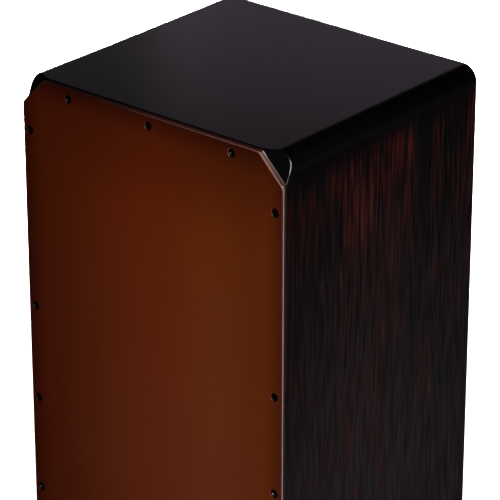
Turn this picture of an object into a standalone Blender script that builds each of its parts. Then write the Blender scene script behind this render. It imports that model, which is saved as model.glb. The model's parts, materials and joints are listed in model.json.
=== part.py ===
"""Cajon: a box drum that the player sits on.

Metres, +Z up. The origin is on the floor under the middle of the object, and the playing
face looks along -Y. The box is five glued panels and a screwed back panel with a sound hole.
The front plate is screwed to the box's front edges, and a snare bar behind it turns on two
pins, which brings two fans of snare wires up to the plate or takes them off it.
"""

import math

import bmesh
import bpy
from mathutils import Matrix, Vector

# Overall sizes
WIDTH = 0.300
BOX_DEPTH = 0.2685
HEIGHT = 0.500
FOOT_HEIGHT = 0.012

# Panels
WALL = 0.015
SEAT_THICKNESS = 0.018
BOTTOM_THICKNESS = 0.018
EDGE_RADIUS = 0.015
GLUE_GAP = 0.0003

# Front plate: a cut corner starts CORNER_CUT from the box's own corner, both ways
PLATE_THICKNESS = 0.0055
PLATE_SETBACK = 0.001
CORNER_CUT = 0.0265
CORNER_ROUND = 0.004
PLATE_EASE = 0.001
BEVEL_ANGLE = math.radians(32.5)

# Back panel and what holds it
BACK_THICKNESS = 0.005
BACK_SETBACK = 0.003
SOUND_HOLE_RADIUS = 0.060
SOUND_HOLE_ABOVE_FLOOR = 0.262
CLEAT = 0.012
CORNER_BLOCK = 0.022
CORNER_BLOCK_END_GAP = 0.012

# Every screw head: shares of its radius or of its height
HEAD_FLAT = 0.72
HEAD_RIM = 0.35
CROSS_LENGTH = 1.1
CROSS_WIDTH = 0.22
CROSS_DEPTH = 0.55

# Front plate screws
FRONT_HEAD_SINK = 0.0001
FRONT_HEAD_RADIUS = 0.004
FRONT_HEAD_HEIGHT = 0.0016
FRONT_SHANK_RADIUS = 0.0017
FRONT_SHANK_LENGTH = 0.020
SIDE_SCREW_INSET = 0.008
ROW_SCREW_INSET = 0.0105
ROW_SCREW_END = 0.056
UPPER_SCREW_DROP = 0.052
LOWER_SCREW_RISE = 0.072
SIDE_SCREW_PITCH = 0.095
LOWER_SCREWS_PER_SIDE = 3

# Back panel screws
BACK_HEAD_RADIUS = 0.0035
BACK_HEAD_HEIGHT = 0.0015
BACK_SHANK_RADIUS = 0.0014
BACK_SHANK_LENGTH = 0.013
BACK_ROW_OFFSET = 0.080
BACK_SIDE_OFFSET = 0.120

# Feet
FOOT_RADIUS = 0.014
FOOT_TAPER = 0.0015
FOOT_EASE = 0.0008
FOOT_INSET_X = 0.032
FOOT_INSET_Y = 0.032
FOOT_WEB = 0.004
FOOT_HEAD_RADIUS = 0.0045
FOOT_HEAD_HEIGHT = 0.0025
FOOT_SHANK_RADIUS = 0.002
FOOT_SHANK_LENGTH = 0.016

# Snare unit, whose pivot axis lies behind the plate and below the seat
PIVOT_BEHIND_PLATE = 0.040
PIVOT_BELOW_TOP = 0.130
BAR_TILT = math.radians(18)
BAR_SIDE = 0.020
BAR_END_GAP = 0.0012
BAR_CHAMFER = 0.0015
PIN_RADIUS = 0.004
PIN_EASE = 0.0006
PIN_IN_BAR = 0.018
PIN_END_GAP = 0.0015
BEARING_WIDTH = 0.015
BEARING_SIDE = 0.034
RUNNING_GAP = 0.0003
WIRE_RADIUS = 0.0007
WIRES_PER_FAN = 10
WIRE_LENGTH = 0.0900
WIRE_ROOT = 0.0046
WIRE_PITCH = 0.0032
WIRE_FAN_PITCH = 0.0048
STRIP_THICKNESS = 0.0008
STRIP_HEIGHT = 0.008
STRIP_MARGIN = 0.007
FAN_OFFSET = 0.058
CLAMP_HEIGHT = 0.0105
CLAMP_THICKNESS = 0.0022
CLAMP_ROUND = 0.002
CLAMP_HEAD_RADIUS = 0.0028
CLAMP_HEAD_HEIGHT = 0.0014
CLAMP_SHANK_RADIUS = 0.0013
CLAMP_SHANK_LENGTH = 0.012
LEVER_WIDTH = 0.014
LEVER_THICKNESS = 0.002
LEVER_FOOT = 0.016
LEVER_ARM = 0.046
LEVER_LIP = 0.008

# How many flats stand for a full turn
SCREW_STEPS = 12
BORE_STEPS = 10
FOOT_STEPS = 24
PIN_STEPS = 20
WIRE_STEPS = 6
EDGE_STEPS = 8
CORNER_STEPS = 3
SOUND_HOLE_STEPS = 48

# Cutters run past the faces that they cut, and bores past the tips of their screws
CUT_OVERRUN = 0.002
BORE_END_GAP = 0.001

# Driven sizes
TOP = HEIGHT
BASE = FOOT_HEIGHT
HALF_WIDTH = WIDTH / 2
HALF_INSIDE = HALF_WIDTH - WALL
OVERALL_DEPTH = BOX_DEPTH + PLATE_THICKNESS
PLATE_FRONT = -OVERALL_DEPTH / 2
BOX_FRONT = PLATE_FRONT + PLATE_THICKNESS
BOX_BACK = OVERALL_DEPTH / 2
CEILING = TOP - SEAT_THICKNESS
INSIDE_FLOOR = BASE + BOTTOM_THICKNESS
BACK_OUTER = BOX_BACK - BACK_SETBACK
BACK_INNER = BACK_OUTER - BACK_THICKNESS
CLEAT_BACK = BACK_INNER - GLUE_GAP
CLEAT_FRONT = CLEAT_BACK - CLEAT
PIVOT = Vector((0, BOX_FRONT + PIVOT_BEHIND_PLATE, TOP - PIVOT_BELOW_TOP))
BAR_HALF = HALF_INSIDE - GLUE_GAP - BEARING_WIDTH - BAR_END_GAP


# Materials


def material(name, colour, roughness, metallic=0.0):
    """A Principled material of one colour."""
    made = bpy.data.materials.new(name)
    made.use_nodes = True
    shader = made.node_tree.nodes["Principled BSDF"]
    shader.inputs["Base Color"].default_value = (*colour, 1)
    shader.inputs["Roughness"].default_value = roughness
    shader.inputs["Metallic"].default_value = metallic
    made.diffuse_color = (*colour, 1)
    return made


# Meshes


def finish_mesh(name, bm):
    """Turns a bmesh into a mesh whose faces point out."""
    bmesh.ops.recalc_face_normals(bm, faces=bm.faces)
    mesh = bpy.data.meshes.new(name)
    bm.to_mesh(mesh)
    bm.free()
    return mesh


def box_mesh(name, low, high):
    """A box between two corners."""
    bm = bmesh.new()
    low, high = Vector(low), Vector(high)
    place = Matrix.Translation((low + high) / 2) @ Matrix.Diagonal((*(high - low), 1))
    bmesh.ops.create_cube(bm, size=1, matrix=place)
    return finish_mesh(name, bm)


def add_prism(bm, outline, start, end, place):
    """Extrudes an outline of (a, b) points from start to end; place maps (a, b, c) to a point."""
    face = bm.faces.new([bm.verts.new(place(a, b, start)) for a, b in outline])
    side = bmesh.ops.extrude_face_region(bm, geom=[face])
    moved = [item for item in side["geom"] if isinstance(item, bmesh.types.BMVert)]
    bmesh.ops.translate(bm, vec=place(0, 0, end) - place(0, 0, start), verts=moved)


def along_x(a, b, c):
    return Vector((c, a, b))


def along_y(a, b, c):
    return Vector((a, c, b))


def along_z(a, b, c):
    return Vector((a, b, c))


def circle(radius, steps, centre=(0, 0), first_turn=0.0):
    """The corners of a regular outline that stands for a circle."""
    turns = [first_turn + 2 * math.pi * step / steps for step in range(steps)]
    return [(centre[0] + radius * math.cos(t), centre[1] + radius * math.sin(t)) for t in turns]


def prism_mesh(name, outline, start, end, place):
    bm = bmesh.new()
    add_prism(bm, outline, start, end, place)
    return finish_mesh(name, bm)


def rounded(corners, radii, steps):
    """A closed outline whose corners are replaced by arcs. A radius of 0 keeps a corner sharp."""
    points = []
    for index, (corner, radius) in enumerate(zip(corners, radii)):
        corner = Vector(corner)
        if radius == 0:
            points.append(corner)
            continue
        before = (Vector(corners[index - 1]) - corner).normalized()
        after = (Vector(corners[(index + 1) % len(corners)]) - corner).normalized()
        half_angle = before.angle(after) / 2
        centre = corner + (before + after).normalized() * radius / math.sin(half_angle)
        first = corner + before * radius / math.tan(half_angle) - centre
        last = corner + after * radius / math.tan(half_angle) - centre
        turn = math.pi - 2 * half_angle
        for step in range(steps + 1):
            part = step / steps
            point = first * math.sin((1 - part) * turn) + last * math.sin(part * turn)
            points.append(centre + point / math.sin(turn))
    return [tuple(point) for point in points]


def turned_mesh(name, profile, steps):
    """Turns a profile of (radius, height) points round Z. A radius of 0 closes it on the axis."""
    bm = bmesh.new()
    rings = []
    for radius, height in profile:
        if radius == 0:
            rings.append([bm.verts.new((0, 0, height))] * steps)
            continue
        rings.append([bm.verts.new((a, b, height)) for a, b in circle(radius, steps)])
    closed = profile[0][0] > 0
    pairs = list(zip(rings, rings[1:] + rings[:1])) if closed else list(zip(rings, rings[1:]))
    for lower, upper in pairs:
        for step in range(steps):
            after = (step + 1) % steps
            loop = [lower[step], lower[after], upper[after], upper[step]]
            bm.faces.new(list(dict.fromkeys(loop)))
    return finish_mesh(name, bm)


# Objects


def add_object(name, mesh, look=None, parent=None):
    obj = bpy.data.objects.new(name, mesh)
    bpy.context.scene.collection.objects.link(obj)
    obj.parent = parent
    if look:
        obj.data.materials.clear()
        obj.data.materials.append(look)
    return obj


def add_cutter(name, mesh, parent=None):
    """A helper that only cuts."""
    obj = add_object(name, mesh, parent=parent)
    obj.hide_render = True
    obj.display_type = "WIRE"
    return obj


def cut(target, cutter):
    modifier = target.modifiers.new(cutter.name, "BOOLEAN")
    modifier.operation = "DIFFERENCE"
    modifier.solver = "EXACT"
    modifier.object = cutter


def ease(target, width):
    """A narrow chamfer on every edge that turns sharply."""
    modifier = target.modifiers.new("ease", "BEVEL")
    modifier.width = width
    modifier.segments = 1
    modifier.limit_method = "ANGLE"
    modifier.angle_limit = math.radians(40)


def applied(obj):
    """The object's mesh with its modifiers applied, for several objects to share."""
    bpy.context.view_layer.update()
    graph = bpy.context.evaluated_depsgraph_get()
    return bpy.data.meshes.new_from_object(obj.evaluated_get(graph))


def shade_round(mesh):
    mesh.shade_smooth()
    mesh.set_sharp_from_angle(angle=math.radians(35))


def screw_mesh(name, head_radius, head_height, shank_radius, shank_length):
    """A screw along -Z from its head's face at Z = 0, with a cross recess in the head."""
    profile = [
        (0, 0),
        (head_radius * HEAD_FLAT, 0),
        (head_radius, -head_height * HEAD_RIM),
        (head_radius, -head_height),
        (shank_radius, -head_height),
        (shank_radius, -head_height - shank_length + shank_radius),
        (0, -head_height - shank_length),
    ]
    blank = add_object(name + "_blank", turned_mesh(name, profile, SCREW_STEPS))
    arm = head_radius * CROSS_LENGTH / 2
    half = head_radius * CROSS_WIDTH / 2
    depth = head_height * CROSS_DEPTH
    cross = [
        (arm, -half), (arm, half), (half, half), (half, arm), (-half, arm), (-half, half),
        (-arm, half), (-arm, -half), (-half, -half), (-half, -arm), (half, -arm), (half, -half),
    ]
    recess = prism_mesh(name + "_recess", cross, -depth, head_height, along_z)
    recess_cutter = add_cutter(name + "_recess", recess)
    cut(blank, recess_cutter)
    mesh = applied(blank)
    shade_round(mesh)
    for helper in (blank, recess_cutter):
        bpy.data.objects.remove(helper)
    return mesh


def place_screws(name, mesh, look, heads, turn, parent=None):
    """One object for each head position. turn points the screw's +Z away from the material."""
    for number, head in enumerate(heads, 1):
        screw = add_object(f"{name}_{number:02d}", mesh, look, parent)
        screw.rotation_euler = turn
        screw.location = head


def hole_cutter(name, heads, radius, start, end, axis, steps=BORE_STEPS, parent=None):
    """Round bores at each head position, from start to end along an axis, as one cutter."""
    bm = bmesh.new()
    for x, y, z in heads:
        if axis == "Y":
            add_prism(bm, circle(radius, steps, (x, z)), start, end, along_y)
        else:
            add_prism(bm, circle(radius, steps, (x, y)), start, end, along_z)
    return add_cutter(name, finish_mesh(name, bm), parent)


# The box


def corner_bevel_cutter():
    """Wedges that bevel the box behind the plate's four cut corners, deeper towards the corner."""
    bm = bmesh.new()
    slope = math.tan(BEVEL_ANGLE)
    profile = [
        (-CUT_OVERRUN, BOX_FRONT - CUT_OVERRUN * slope),
        (CORNER_CUT, BOX_FRONT + CORNER_CUT * slope),
        (CORNER_CUT, BOX_FRONT - CUT_OVERRUN * 2),
        (-CUT_OVERRUN, BOX_FRONT - CUT_OVERRUN * 2),
    ]
    for side in (-1, 1):
        for level, up in ((TOP, 1), (BASE, -1)):
            out = Vector((side, 0, up)).normalized()
            run = Vector((side, 0, -up)).normalized()
            middle = Vector((side * (HALF_WIDTH - CORNER_CUT / 2), 0, level - up * CORNER_CUT / 2))

            def place(a, b, c):
                return middle + out * a + run * c + Vector((0, b, 0))

            add_prism(bm, profile, -CORNER_CUT, CORNER_CUT, place)
    return add_cutter("corner_bevel_cutter", finish_mesh("corner_bevel_cutter", bm))


def slab_outline(inner, outer):
    """The seat's or bottom's end outline: square inside, with round long edges outside."""
    corners = [(-HALF_WIDTH, inner), (HALF_WIDTH, inner), (HALF_WIDTH, outer), (-HALF_WIDTH, outer)]
    return rounded(corners, [0, 0, EDGE_RADIUS, EDGE_RADIUS], EDGE_STEPS)


def make_box(look_seat, look_side, look_inside):
    bevel = corner_bevel_cutter()
    panels = []
    for name, inner, outer, look in (
        ("seat_panel", CEILING, TOP, look_seat),
        ("bottom_panel", INSIDE_FLOOR, BASE, look_side),
    ):
        mesh = prism_mesh(name, slab_outline(inner, outer), BOX_FRONT, BOX_BACK, along_y)
        panels.append(add_object(name, mesh, look))
    for name, side in (("left_side_panel", -1), ("right_side_panel", 1)):
        near, far = sorted((side * HALF_INSIDE, side * HALF_WIDTH))
        low = (near, BOX_FRONT, INSIDE_FLOOR + GLUE_GAP)
        high = (far, BOX_BACK, CEILING - GLUE_GAP)
        panels.append(add_object(name, box_mesh(name, low, high), look_side))
    for panel in panels:
        cut(panel, bevel)
    make_corner_blocks(look_inside)
    return panels


def make_corner_blocks(look):
    """Triangular glue blocks along the four long inside corners."""
    for level, up, height in (("top", -1, CEILING), ("bottom", 1, INSIDE_FLOOR)):
        for name, side in (("left", -1), ("right", 1)):
            wall = side * (HALF_INSIDE - GLUE_GAP)
            shelf = height + up * GLUE_GAP
            corner = Vector((wall, shelf))
            legs = Vector((-side * CORNER_BLOCK, 0)), Vector((0, up * CORNER_BLOCK))
            outline = [tuple(corner), tuple(corner + legs[0]), tuple(corner + legs[1])]
            start = BOX_FRONT + CORNER_BLOCK_END_GAP
            end = CLEAT_FRONT - CORNER_BLOCK_END_GAP
            node = f"corner_block_{level}_{name}"
            add_object(node, prism_mesh(node, outline, start, end, along_y), look)


# The front plate


def front_screw_heads():
    """Where the front plate's screws sit: rows along top and bottom, columns along the sides."""
    face = PLATE_FRONT + FRONT_HEAD_SINK
    heads = []
    for height in (TOP - ROW_SCREW_INSET, BASE + ROW_SCREW_INSET):
        for across in (ROW_SCREW_END - HALF_WIDTH, 0, HALF_WIDTH - ROW_SCREW_END):
            heads.append((across, face, height))
    for side in (-1, 1):
        across = side * (HALF_WIDTH - SIDE_SCREW_INSET)
        heads.append((across, face, TOP - UPPER_SCREW_DROP))
        for step in range(LOWER_SCREWS_PER_SIDE):
            heads.append((across, face, BASE + LOWER_SCREW_RISE + step * SIDE_SCREW_PITCH))
    return heads


def plate_outline():
    """The plate's outline in X and Z, with its corners cut at 45 degrees."""
    side = HALF_WIDTH
    leg = CORNER_CUT - PLATE_SETBACK
    top, bottom = TOP - PLATE_SETBACK, BASE + PLATE_SETBACK
    corners = [
        (-side + leg, bottom), (side - leg, bottom), (side, bottom + leg), (side, top - leg),
        (side - leg, top), (-side + leg, top), (-side, top - leg), (-side, bottom + leg),
    ]
    return rounded(corners, [CORNER_ROUND] * len(corners), CORNER_STEPS)


def make_front_plate(look_plate, look_screw, panels):
    heads = front_screw_heads()
    mesh = prism_mesh("front_plate", plate_outline(), PLATE_FRONT, BOX_FRONT - GLUE_GAP, along_y)
    plate = add_object("front_plate", mesh, look_plate)
    ease(plate, PLATE_EASE)
    seat_depth = FRONT_HEAD_HEIGHT + 2 * GLUE_GAP
    bore_radius = FRONT_SHANK_RADIUS + GLUE_GAP
    head_seats = hole_cutter(
        "front_head_seats", heads, FRONT_HEAD_RADIUS + GLUE_GAP,
        PLATE_FRONT - CUT_OVERRUN, PLATE_FRONT + seat_depth, "Y", SCREW_STEPS,
    )
    tip = PLATE_FRONT + FRONT_HEAD_HEIGHT + FRONT_SHANK_LENGTH + BORE_END_GAP
    bores = hole_cutter("front_bores", heads, bore_radius, PLATE_FRONT - CUT_OVERRUN, tip, "Y")
    cut(plate, head_seats)
    cut(plate, bores)
    for panel in panels:
        cut(panel, bores)
    screw = screw_mesh(
        "front_screw", FRONT_HEAD_RADIUS, FRONT_HEAD_HEIGHT, FRONT_SHANK_RADIUS, FRONT_SHANK_LENGTH
    )
    place_screws("front_screw", screw, look_screw, heads, (math.pi / 2, 0, 0))


# The back


def back_screw_heads():
    face = BACK_OUTER + BACK_HEAD_HEIGHT
    middle = (INSIDE_FLOOR + CEILING) / 2
    rim = GLUE_GAP + CLEAT / 2
    heads = []
    for side in (-1, 1):
        for height in (CEILING - rim, INSIDE_FLOOR + rim):
            heads.append((side * BACK_ROW_OFFSET, face, height))
        for height in (middle + BACK_SIDE_OFFSET, middle - BACK_SIDE_OFFSET):
            heads.append((side * (HALF_INSIDE - rim), face, height))
    return heads


def make_back(look_back, look_cleat, look_screw):
    """The back panel sits inside the box's back edge, on four cleats."""
    edge = HALF_INSIDE - GLUE_GAP
    low, high = INSIDE_FLOOR + GLUE_GAP, CEILING - GLUE_GAP
    mesh = box_mesh("back_panel", (-edge, BACK_INNER, low), (edge, BACK_OUTER, high))
    panel = add_object("back_panel", mesh, look_back)
    outline = circle(SOUND_HOLE_RADIUS, SOUND_HOLE_STEPS, (0, SOUND_HOLE_ABOVE_FLOOR))
    hole = prism_mesh(
        "sound_hole_cutter", outline, BACK_INNER - CUT_OVERRUN, BACK_OUTER + CUT_OVERRUN, along_y
    )
    cut(panel, add_cutter("sound_hole_cutter", hole))
    short = edge - CLEAT - GLUE_GAP
    cleats = []
    for name, corner_low, corner_high in (
        ("back_cleat_top", (-edge, high - CLEAT), (edge, high)),
        ("back_cleat_bottom", (-edge, low), (edge, low + CLEAT)),
        ("back_cleat_left", (-edge, low + CLEAT + GLUE_GAP), (-short - GLUE_GAP, high - CLEAT - GLUE_GAP)),
        ("back_cleat_right", (short + GLUE_GAP, low + CLEAT + GLUE_GAP), (edge, high - CLEAT - GLUE_GAP)),
    ):
        start = (corner_low[0], CLEAT_FRONT, corner_low[1])
        end = (corner_high[0], CLEAT_BACK, corner_high[1])
        cleats.append(add_object(name, box_mesh(name, start, end), look_cleat))
    heads = back_screw_heads()
    tip = BACK_OUTER - BACK_SHANK_LENGTH - BORE_END_GAP
    bores = hole_cutter(
        "back_bores", heads, BACK_SHANK_RADIUS + GLUE_GAP, tip, BACK_OUTER + CUT_OVERRUN, "Y"
    )
    for piece in [panel, *cleats]:
        cut(piece, bores)
    screw = screw_mesh(
        "back_screw", BACK_HEAD_RADIUS, BACK_HEAD_HEIGHT - GLUE_GAP, BACK_SHANK_RADIUS, BACK_SHANK_LENGTH
    )
    place_screws("back_screw", screw, look_screw, heads, (-math.pi / 2, 0, 0))


# The feet


def make_feet(look_rubber, look_screw, bottom_panel):
    head_seat = FOOT_HEIGHT - GLUE_GAP - FOOT_WEB
    profile = [
        (FOOT_SHANK_RADIUS + GLUE_GAP, head_seat),
        (FOOT_HEAD_RADIUS + GLUE_GAP, head_seat),
        (FOOT_HEAD_RADIUS + GLUE_GAP, 0),
        (FOOT_RADIUS - FOOT_TAPER - FOOT_EASE, 0),
        (FOOT_RADIUS - FOOT_TAPER, FOOT_EASE),
        (FOOT_RADIUS, FOOT_HEIGHT - GLUE_GAP - FOOT_EASE),
        (FOOT_RADIUS - FOOT_EASE, FOOT_HEIGHT - GLUE_GAP),
        (FOOT_SHANK_RADIUS + GLUE_GAP, FOOT_HEIGHT - GLUE_GAP),
    ]
    foot_mesh = turned_mesh("foot", profile, FOOT_STEPS)
    shade_round(foot_mesh)
    screw = screw_mesh(
        "foot_screw", FOOT_HEAD_RADIUS, FOOT_HEAD_HEIGHT, FOOT_SHANK_RADIUS, FOOT_SHANK_LENGTH
    )
    face = head_seat - GLUE_GAP - FOOT_HEAD_HEIGHT
    places = []
    for depth_name, along in (("front", BOX_FRONT + FOOT_INSET_Y), ("back", BOX_BACK - FOOT_INSET_Y)):
        for side_name, side in (("left", -1), ("right", 1)):
            across = side * (HALF_WIDTH - FOOT_INSET_X)
            foot = add_object(f"foot_{depth_name}_{side_name}", foot_mesh, look_rubber)
            foot.location = (across, along, 0)
            places.append((across, along, face))
    top = face + FOOT_HEAD_HEIGHT + FOOT_SHANK_LENGTH + BORE_END_GAP
    bores = hole_cutter("foot_bores", places, FOOT_SHANK_RADIUS + GLUE_GAP, BASE - CUT_OVERRUN, top, "Z")
    cut(bottom_panel, bores)
    place_screws("foot_screw", screw, look_screw, places, (math.pi, 0, 0))


# The snare unit. Its pieces hang on an empty on the pivot axis, where -Y is the bar's front face


def make_bearings(look):
    """Two blocks on the side walls, bored for the pivot pins."""
    half = BEARING_SIDE / 2
    outline = circle(PIN_RADIUS + RUNNING_GAP, PIN_STEPS, (PIVOT.y, PIVOT.z))
    bore = prism_mesh("bearing_bore", outline, -HALF_WIDTH, HALF_WIDTH, along_x)
    bore_cutter = add_cutter("bearing_bore", bore)
    for name, side in (("left", -1), ("right", 1)):
        wall = side * (HALF_INSIDE - GLUE_GAP)
        near, far = sorted((wall, wall - side * BEARING_WIDTH))
        node = f"bearing_block_{name}"
        low = (near, PIVOT.y - half, PIVOT.z - half)
        high = (far, PIVOT.y + half, PIVOT.z + half)
        block = add_object(node, box_mesh(node, low, high), look)
        ease(block, BAR_CHAMFER)
        cut(block, bore_cutter)


def fan_mesh():
    """A fan of straight wires on an end strip, in the bar's frame, as one solid."""
    bm = bmesh.new()
    half_strip = (WIRES_PER_FAN - 1) / 2 * WIRE_PITCH + STRIP_MARGIN
    low = (-half_strip, -STRIP_THICKNESS / 2, 0)
    high = (half_strip, STRIP_THICKNESS / 2, STRIP_HEIGHT)
    fan = add_object("fan_strip", box_mesh("fan_strip", low, high))
    section = circle(WIRE_RADIUS, WIRE_STEPS, first_turn=math.pi / WIRE_STEPS)
    for number in range(WIRES_PER_FAN):
        place = number - (WIRES_PER_FAN - 1) / 2
        root = Vector((place * WIRE_PITCH, 0, WIRE_ROOT))
        tip = Vector((place * WIRE_FAN_PITCH, 0, WIRE_ROOT + WIRE_LENGTH))
        lean = (tip - root).normalized()

        def on_wire(a, b, c):
            return root + lean * c + Vector((a, b, 0))

        add_prism(bm, section, 0, (tip - root).length, on_wire)
    wires = add_object("fan_wires", finish_mesh("fan_wires", bm))
    joined = fan.modifiers.new("wires", "BOOLEAN")
    joined.operation = "UNION"
    joined.solver = "EXACT"
    joined.object = wires
    mesh = applied(fan)
    for helper in (fan, wires):
        bpy.data.objects.remove(helper)
    return mesh, half_strip


def make_snares(look_wood, look_steel, look_brass, look_screw):
    pivot = bpy.data.objects.new("snare_pivot", None)
    bpy.context.scene.collection.objects.link(pivot)
    pivot.location = PIVOT
    pivot.rotation_euler = (BAR_TILT, 0, 0)
    half = BAR_SIDE / 2
    bar_mesh = box_mesh("snare_bar", (-BAR_HALF, -half, -half), (BAR_HALF, half, half))
    bar = add_object("snare_bar", bar_mesh, look_wood, pivot)
    ease(bar, BAR_CHAMFER)

    pin_bore = bmesh.new()
    for side in (-1, 1):
        inner = side * (BAR_HALF - PIN_IN_BAR - GLUE_GAP)
        outline = circle(PIN_RADIUS + GLUE_GAP, PIN_STEPS)
        add_prism(pin_bore, outline, inner, side * (BAR_HALF + CUT_OVERRUN), along_x)
    cut(bar, add_cutter("pin_bores", finish_mesh("pin_bores", pin_bore), pivot))
    pin_length = PIN_IN_BAR + BAR_END_GAP + BEARING_WIDTH - PIN_END_GAP
    profile = [
        (0, 0), (PIN_RADIUS - PIN_EASE, 0), (PIN_RADIUS, PIN_EASE),
        (PIN_RADIUS, pin_length - PIN_EASE), (PIN_RADIUS - PIN_EASE, pin_length), (0, pin_length),
    ]
    pin_mesh = turned_mesh("pivot_pin", profile, PIN_STEPS)
    shade_round(pin_mesh)

    fan, half_strip = fan_mesh()
    strip_middle = -half - GLUE_GAP - STRIP_THICKNESS / 2 - WIRE_RADIUS
    clamp_back = strip_middle - WIRE_RADIUS - GLUE_GAP
    clamp_front = clamp_back - CLAMP_THICKNESS
    clamp_outline = rounded(
        [(-half_strip, 0), (half_strip, 0), (half_strip, CLAMP_HEIGHT), (-half_strip, CLAMP_HEIGHT)],
        [CLAMP_ROUND] * 4, CORNER_STEPS,
    )
    clamp_mesh = prism_mesh("snare_clamp", clamp_outline, clamp_front, clamp_back, along_y)
    screw_reach = half_strip - STRIP_MARGIN / 2
    clamp_screw = screw_mesh(
        "clamp_screw", CLAMP_HEAD_RADIUS, CLAMP_HEAD_HEIGHT, CLAMP_SHANK_RADIUS, CLAMP_SHANK_LENGTH
    )
    clamp_heads = []
    clamped = [bar]
    for name, side in (("left", -1), ("right", 1)):
        pin = add_object(f"pivot_pin_{name}", pin_mesh, look_steel, pivot)
        pin.rotation_euler = (0, side * math.pi / 2, 0)
        pin.location = (side * (BAR_HALF - PIN_IN_BAR), 0, 0)
        wires = add_object(f"snare_wires_{name}", fan, look_steel, pivot)
        wires.location = (side * FAN_OFFSET, strip_middle, -STRIP_HEIGHT / 2)
        clamp = add_object(f"snare_clamp_{name}", clamp_mesh, look_brass, pivot)
        clamp.location = (side * FAN_OFFSET, 0, -CLAMP_HEIGHT / 2)
        clamped += [wires, clamp]
        for end in (-1, 1):
            across = side * FAN_OFFSET + end * screw_reach
            head_face = clamp_front - GLUE_GAP - CLAMP_HEAD_HEIGHT
            clamp_heads.append((across, head_face, 0))
    tip = clamp_front + CLAMP_SHANK_LENGTH + BORE_END_GAP
    start = clamp_front - CUT_OVERRUN
    bore_radius = CLAMP_SHANK_RADIUS + GLUE_GAP
    bores = hole_cutter("clamp_bores", clamp_heads, bore_radius, start, tip, "Y", parent=pivot)
    for piece in clamped:
        cut(piece, bores)
    place_screws("clamp_screw", clamp_screw, look_screw, clamp_heads, (math.pi / 2, 0, 0), pivot)
    make_lever(pivot, bar, look_steel, look_screw, clamp_screw)


def make_lever(pivot, bar, look_steel, look_screw, screw):
    """A bent strip on the bar's back face, long enough to reach from the sound hole."""
    near = BAR_SIDE / 2 + GLUE_GAP
    far = near + LEVER_THICKNESS
    thick = LEVER_THICKNESS
    foot_top = LEVER_FOOT / 2
    shelf = -LEVER_FOOT / 2
    outline = [
        (near, foot_top), (far, foot_top), (far, shelf + thick),
        (far + LEVER_ARM - thick, shelf + thick), (far + LEVER_ARM - thick, shelf + LEVER_LIP),
        (far + LEVER_ARM, shelf + LEVER_LIP), (far + LEVER_ARM, shelf), (near, shelf),
    ]
    half = LEVER_WIDTH / 2
    mesh = prism_mesh("throw_off_lever", outline, -half, half, along_x)
    lever = add_object("throw_off_lever", mesh, look_steel, pivot)
    head_face = far + GLUE_GAP + CLAMP_HEAD_HEIGHT
    seat = [(0, head_face, thick / 2)]
    tip = far - CLAMP_SHANK_LENGTH - BORE_END_GAP
    bore_radius = CLAMP_SHANK_RADIUS + GLUE_GAP
    bore = hole_cutter("lever_bore", seat, bore_radius, tip, far + CUT_OVERRUN, "Y", parent=pivot)
    cut(lever, bore)
    cut(bar, bore)
    fixing = add_object("lever_screw", screw, look_screw, pivot)
    fixing.rotation_euler = (-math.pi / 2, 0, 0)
    fixing.location = seat[0]


def main():
    for obj in list(bpy.data.objects):
        bpy.data.objects.remove(obj)

    seat_black = material("seat_black", (0.018, 0.016, 0.020), 0.45)
    side_ebony = material("side_ebony", (0.010, 0.004, 0.003), 0.30)
    stained_plate = material("stained_plate", (0.060, 0.012, 0.005), 0.42)
    raw_wood = material("raw_wood", (0.46, 0.32, 0.19), 0.70)
    black_steel = material("black_steel", (0.015, 0.015, 0.016), 0.35, 1.0)
    bright_steel = material("bright_steel", (0.62, 0.62, 0.63), 0.28, 1.0)
    brass = material("brass", (0.62, 0.44, 0.18), 0.32, 1.0)
    rubber = material("rubber", (0.014, 0.014, 0.014), 0.85)

    panels = make_box(seat_black, side_ebony, raw_wood)
    make_front_plate(stained_plate, black_steel, panels)
    make_back(side_ebony, raw_wood, black_steel)
    make_feet(rubber, black_steel, panels[1])
    make_bearings(raw_wood)
    make_snares(raw_wood, bright_steel, brass, black_steel)


main()
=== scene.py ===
"""Cajon: the looks. Detailed pieces, procedural materials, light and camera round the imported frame."""

import json
import math

import bmesh
import bpy
from mathutils import Matrix, Vector


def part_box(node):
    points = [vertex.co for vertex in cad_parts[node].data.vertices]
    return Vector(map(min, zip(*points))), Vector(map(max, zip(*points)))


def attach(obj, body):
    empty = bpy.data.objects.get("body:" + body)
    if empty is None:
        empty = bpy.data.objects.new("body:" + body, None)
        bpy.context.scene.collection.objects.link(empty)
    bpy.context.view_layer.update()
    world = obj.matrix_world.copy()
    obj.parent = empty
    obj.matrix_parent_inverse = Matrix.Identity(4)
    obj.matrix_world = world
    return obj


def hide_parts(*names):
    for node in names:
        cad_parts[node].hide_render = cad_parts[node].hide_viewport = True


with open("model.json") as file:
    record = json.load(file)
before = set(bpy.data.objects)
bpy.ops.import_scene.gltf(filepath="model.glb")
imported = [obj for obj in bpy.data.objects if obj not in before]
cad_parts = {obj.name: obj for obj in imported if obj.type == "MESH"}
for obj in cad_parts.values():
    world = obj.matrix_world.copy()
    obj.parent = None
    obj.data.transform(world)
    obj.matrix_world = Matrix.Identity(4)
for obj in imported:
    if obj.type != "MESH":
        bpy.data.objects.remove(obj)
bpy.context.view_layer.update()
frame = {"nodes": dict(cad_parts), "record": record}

# Places read from the frame
SEAT_LOW, SEAT_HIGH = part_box("seat_panel")
BASE_LOW, BASE_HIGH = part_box("bottom_panel")
RIGHT_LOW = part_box("right_side_panel")[0]
PLATE_LOW, PLATE_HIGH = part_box("front_plate")
BACK_LOW, BACK_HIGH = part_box("back_panel")
TOP, CEILING = SEAT_HIGH.z, SEAT_LOW.z
BASE, INSIDE_FLOOR = BASE_LOW.z, BASE_HIGH.z
HALF_WIDTH, HALF_INSIDE = SEAT_HIGH.x, RIGHT_LOW.x
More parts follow.
